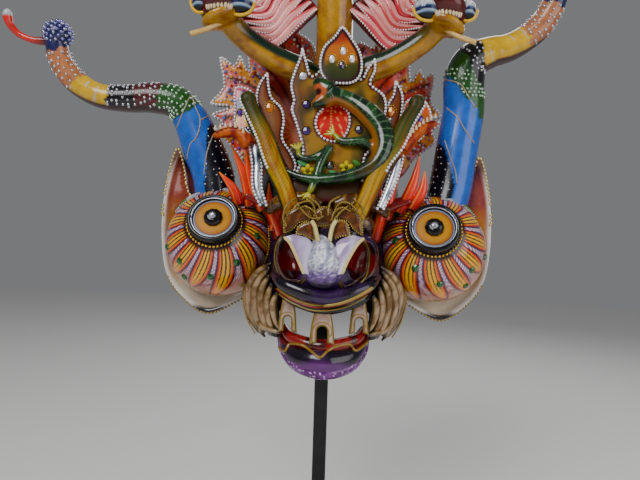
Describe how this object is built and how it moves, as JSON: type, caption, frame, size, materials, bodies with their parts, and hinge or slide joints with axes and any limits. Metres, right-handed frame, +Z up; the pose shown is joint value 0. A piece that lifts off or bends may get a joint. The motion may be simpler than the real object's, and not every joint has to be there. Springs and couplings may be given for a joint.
{
  "type": "diablada devil mask on a display stand",
  "caption": "Painted diablada dance mask with bulging eyes, curling horns and a crest of serpents and a lizard, held on a square post.",
  "frame": {"origin": "centre of the base plate's underside, on the floor", "axes": "+Z up, the mask looks along -Y, +X is to the right of someone who faces the mask"},
  "size_m": [0.6678, 0.26, 0.74],
  "materials": {
    "stand_black": "satin black paint",
    "face_purple": "glossy dark purple paint",
    "eye_cream": "painted and varnished",
    "collar_black": "glossy black",
    "iris_yellow": "glossy orange yellow",
    "pupil_black": "glossy black",
    "ear_pearl": "pearl varnish",
    "horn_blue": "glossy painted bands",
    "ornament_ochre": "glossy ochre and maroon",
    "crest_red": "glossy red and orange",
    "serpent_ochre": "glossy ochre yellow",
    "serpent_eye": "silvered glass bulb",
    "tongue_cream": "painted stick",
    "mane_pink": "glossy rose pink",
    "lizard_green": "glossy dark green",
    "dragon_ochre": "glossy ochre yellow",
    "band_silver": "silver paint",
    "flame_red": "glossy red orange",
    "tooth_bone": "bone coloured varnish",
    "tusk_bone": "brushed bone and gold brown"
  },
  "bodies": {
    "root": {"stand_base": "stand_black", "stand_post": "stand_black", "stand_bar": "stand_black", "face_shell": "face_purple", "eyeball_left": "eye_cream", "eyeball_right": "eye_cream", "eye_collar_left": "collar_black", "eye_collar_right": "collar_black", "eye_disc_left": "iris_yellow", "eye_disc_right": "iris_yellow", "pupil_left": "pupil_black", "pupil_right": "pupil_black", "ear_left": "ear_pearl", "ear_right": "ear_pearl", "horn_left": "horn_blue", "horn_right": "horn_blue", "forehead_panel": "ornament_ochre", "flame_plaque": "ornament_ochre", "side_leaf_left": "ornament_ochre", "side_leaf_right": "ornament_ochre", "lappet_left": "ornament_ochre", "lappet_right": "ornament_ochre", "crest_wing_left": "crest_red", "crest_wing_right": "crest_red", "serpent_centre": "serpent_ochre", "serpent_left": "serpent_ochre", "serpent_right": "serpent_ochre", "serpent_centre_eye_left": "serpent_eye", "serpent_centre_eye_right": "serpent_eye", "serpent_left_eye_inner": "serpent_eye", "serpent_left_eye_outer": "serpent_eye", "serpent_right_eye_inner": "serpent_eye", "serpent_right_eye_outer": "serpent_eye", "serpent_tongue_left": "tongue_cream", "serpent_tongue_right": "tongue_cream", "mane_left": "mane_pink", "mane_right": "mane_pink", "lizard": "lizard_green", "dragon_left": "dragon_ochre", "dragon_right": "dragon_ochre", "dragon_band_left": "band_silver", "dragon_band_right": "band_silver", "flame_spikes_left": "flame_red", "flame_spikes_right": "flame_red", "tooth_left": "tooth_bone", "tooth_centre": "tooth_bone", "tooth_right": "tooth_bone", "cheek_tusks_left": "tusk_bone", "cheek_tusks_right": "tusk_bone"}
  },
  "joints": []
}
